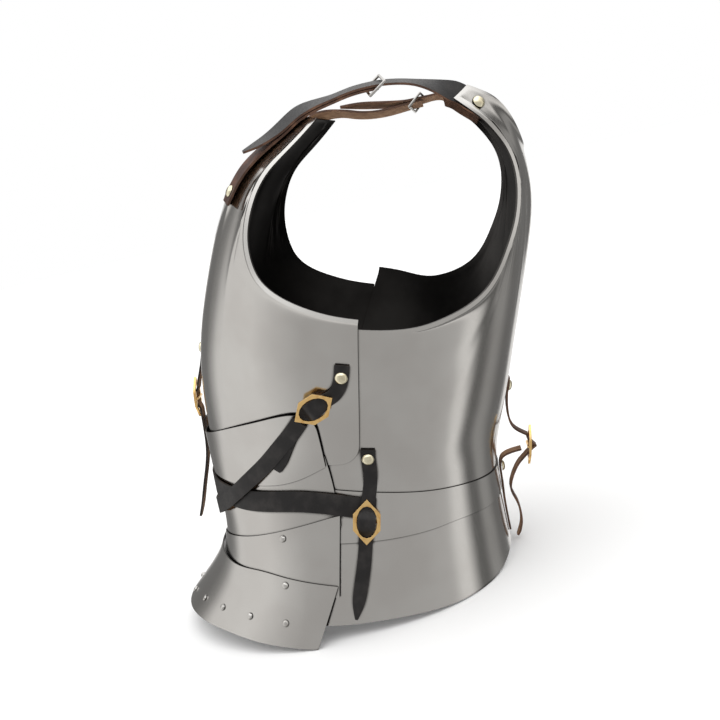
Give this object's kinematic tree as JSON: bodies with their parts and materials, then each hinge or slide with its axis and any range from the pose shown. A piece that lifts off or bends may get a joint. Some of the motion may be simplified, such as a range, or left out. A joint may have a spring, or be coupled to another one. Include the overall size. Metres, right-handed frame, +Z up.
{
  "type": "steel breastplate",
  "caption": "Steel breast and back plate with waist lames, a fauld and a culet, joined by leather straps and buckles, standing on its hems.",
  "frame": {"origin": "middle of the bounding box on the floor that the hems rest on", "axes": "+Z up from the floor, the front of the breast faces -Y and the wearer's left side is +X; the cuirass leans back about X by the angle at which it rests on its own hems"},
  "size_m": [0.3592, 0.462, 0.5118],
  "materials": {
    "steel": "satin, faintly brushed up and down",
    "black_leather": "black grain with brown cut edges",
    "brown_leather": "red-brown grain with a tan flesh side",
    "brass": "polished cast brass",
    "pale_brass": "pale domed heads"
  },
  "bodies": {
    "root": {"breastplate": "steel", "plackart": "steel", "front_waist_lame": "steel", "fauld_upper_lame": "steel", "fauld_lower_lame": "steel", "back_plate": "steel", "back_waist_lame": "steel", "culet": "steel", "side_strap_left": "black_leather", "side_strap_right": "black_leather", "cross_strap": "black_leather", "waist_belt": "black_leather", "waist_strap_left": "black_leather", "waist_strap_right": "black_leather", "front_strap": "black_leather", "plackart_strap": "black_leather", "back_strap": "brown_leather", "culet_strap": "brown_leather", "chest_strap_left": "brown_leather", "chest_strap_right": "brown_leather", "shoulder_strap_left": "black_leather", "shoulder_strap_right": "black_leather", "side_buckle_left": "brass", "side_buckle_right": "brass", "waist_buckle_left": "brass", "waist_buckle_right": "brass", "front_buckle": "brass", "back_buckle": "brass", "shoulder_buckle_left": "steel", "shoulder_buckle_right": "steel", "side_rivet_left": "pale_brass", "side_rivet_right": "pale_brass", "waist_rivet_left": "pale_brass", "waist_rivet_right": "pale_brass", "chest_rivet_left": "pale_brass", "chest_rivet_right": "pale_brass", "shoulder_rivet_left": "pale_brass", "shoulder_rivet_right": "pale_brass", "front_rivet": "pale_brass", "back_rivet": "pale_brass", "culet_rivet": "pale_brass", "plackart_rivet": "steel", "lame_rivet_1_left": "steel", "lame_rivet_1_right": "steel", "lame_rivet_2_left": "steel", "lame_rivet_2_right": "steel", "lame_rivet_3_left": "steel", "lame_rivet_3_right": "steel", "lame_rivet_4_left": "steel", "lame_rivet_4_right": "steel", "lame_rivet_5_left": "steel", "lame_rivet_5_right": "steel", "lame_rivet_6_left": "steel", "lame_rivet_6_right": "steel", "lame_rivet_7_left": "steel", "lame_rivet_7_right": "steel"}
  },
  "joints": []
}
